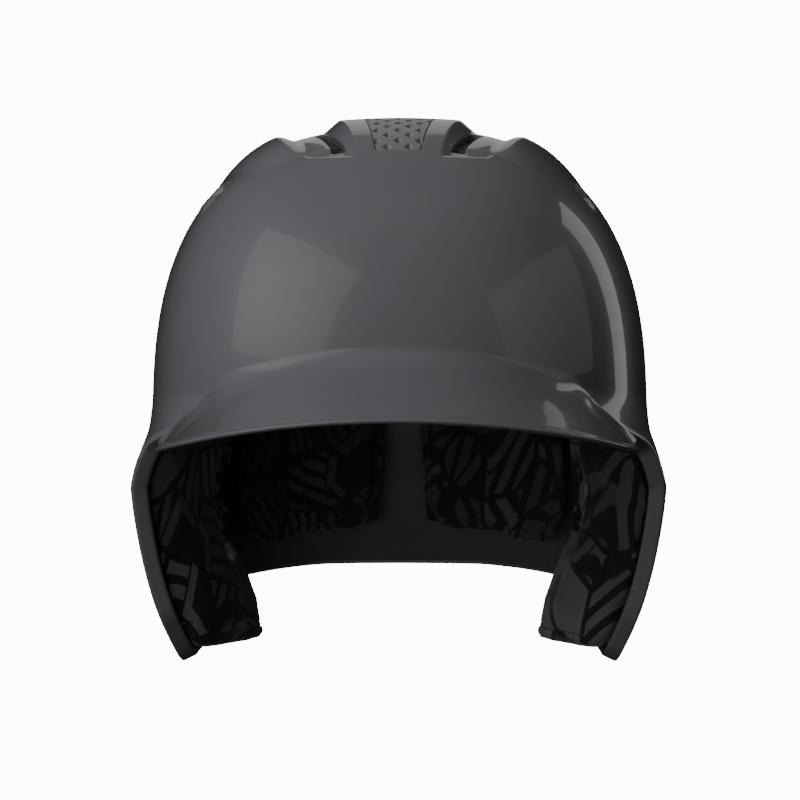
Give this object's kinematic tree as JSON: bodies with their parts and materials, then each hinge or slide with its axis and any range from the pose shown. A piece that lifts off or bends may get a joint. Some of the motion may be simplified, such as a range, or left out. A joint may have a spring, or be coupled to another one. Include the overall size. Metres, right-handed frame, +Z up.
{
  "type": "batting helmet",
  "caption": "Glossy double ear flap batting helmet with a bill, a vented crown spine, ear holes, foam liners and fabric-covered comfort pads.",
  "frame": {"origin": "under the centre of the bounding box, level with the lower edges of the ear flaps", "axes": "+X the wearer's left, +Y the back of the head, +Z up; the bill points along -Y"},
  "size_m": [0.2194, 0.2871, 0.2279],
  "materials": {
    "shell": "gloss charcoal",
    "vent_insert": "satin grey",
    "impact_foam": "moulded bead foam",
    "pad_fabric": "black with dark grey shards",
    "cushion_foam": "open cell foam",
    "backing_board": "matte black",
    "hook_tape": "black hook tape"
  },
  "bodies": {
    "helmet": {"outer_shell": "shell", "crown_vent_insert": "vent_insert", "front_liner": "impact_foam", "crown_liner": "impact_foam", "side_liner_left": "impact_foam", "side_liner_right": "impact_foam", "rear_liner_left": "impact_foam", "rear_liner_right": "impact_foam", "jaw_liner_left": "impact_foam", "jaw_liner_right": "impact_foam", "forehead_pad_cover": "pad_fabric", "crown_pad_cover": "pad_fabric", "temple_pad_cover_left": "pad_fabric", "temple_pad_cover_right": "pad_fabric", "rear_pad_cover_left": "pad_fabric", "rear_pad_cover_right": "pad_fabric", "forehead_pad_foam": "cushion_foam", "crown_pad_foam": "cushion_foam", "temple_pad_foam_left": "cushion_foam", "temple_pad_foam_right": "cushion_foam", "rear_pad_foam_left": "cushion_foam", "rear_pad_foam_right": "cushion_foam", "hook_discs_left": "hook_tape", "hook_discs_right": "hook_tape"},
    "jaw_pad_left": {"jaw_pad_cover_left": "pad_fabric", "jaw_pad_foam_left": "cushion_foam", "jaw_pad_board_left": "backing_board"},
    "jaw_pad_right": {"jaw_pad_cover_right": "pad_fabric", "jaw_pad_foam_right": "cushion_foam", "jaw_pad_board_right": "backing_board"}
  },
  "joints": [
    {"name": "jaw_pad_left_pull", "type": "slide", "parent": "helmet", "child": "jaw_pad_left", "axis": [-1, 0, 0], "range_m": [0, 0.03]},
    {"name": "jaw_pad_right_pull", "type": "slide", "parent": "helmet", "child": "jaw_pad_right", "axis": [1, 0, 0], "range_m": [0, 0.03]}
  ]
}
